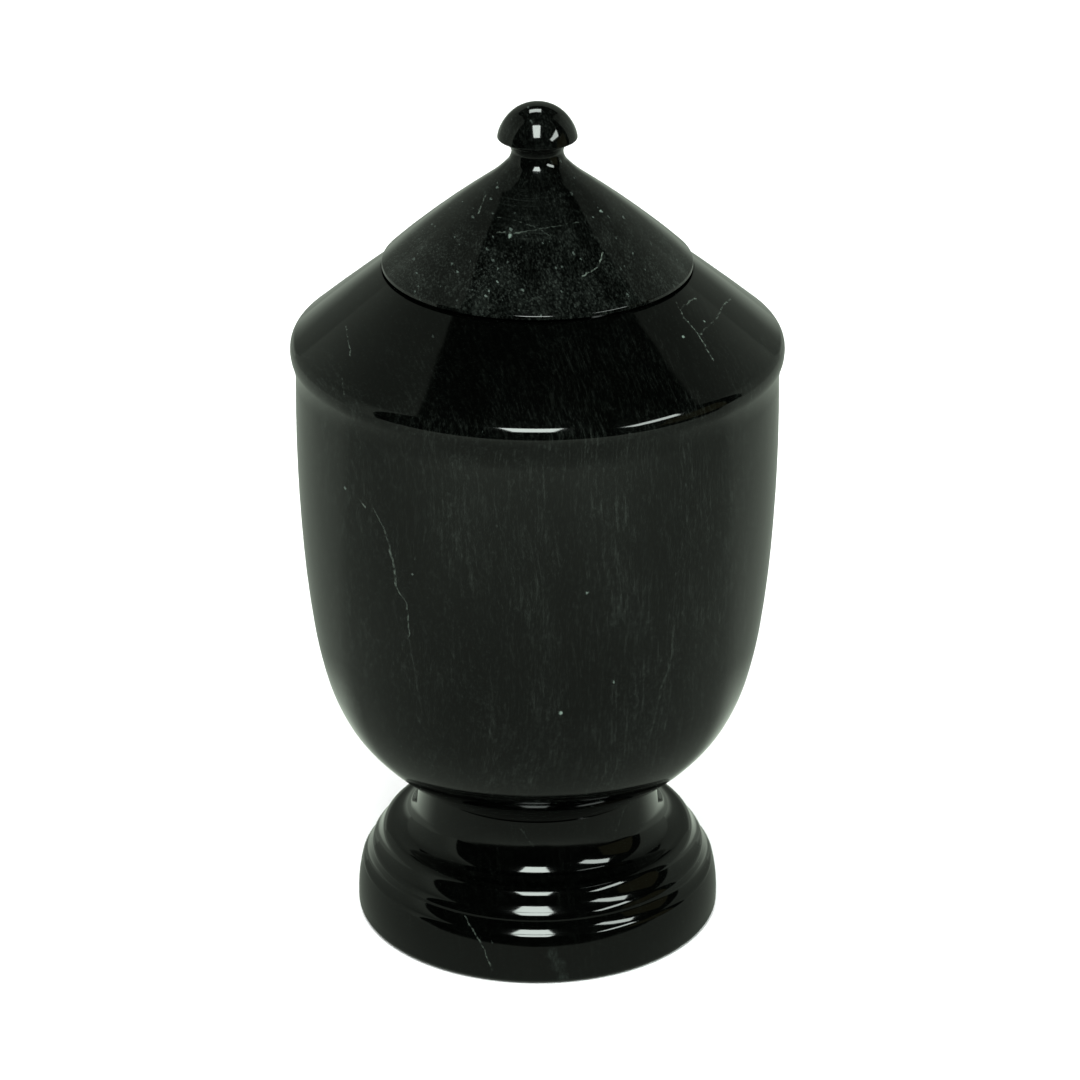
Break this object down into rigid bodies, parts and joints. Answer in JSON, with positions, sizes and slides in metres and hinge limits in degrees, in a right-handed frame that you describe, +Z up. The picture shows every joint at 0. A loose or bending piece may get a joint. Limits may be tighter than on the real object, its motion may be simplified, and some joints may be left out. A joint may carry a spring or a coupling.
{
  "type": "cremation urn",
  "caption": "Turned black marble cremation urn: stepped foot, hollow bowl with a collared sloping shoulder, and a lift-off conical lid with a mushroom knob.",
  "frame": {"origin": "centre of the flat underside of the foot", "axes": "+Z up along the axis of turning, through the lid's knob; the urn is the same all round, and +X and +Y are free"},
  "size_m": [0.1767, 0.1766, 0.315],
  "materials": {
    "black_marble": "polished"
  },
  "bodies": {
    "root": {"lid": "black_marble", "body": "black_marble", "foot": "black_marble"}
  },
  "joints": []
}
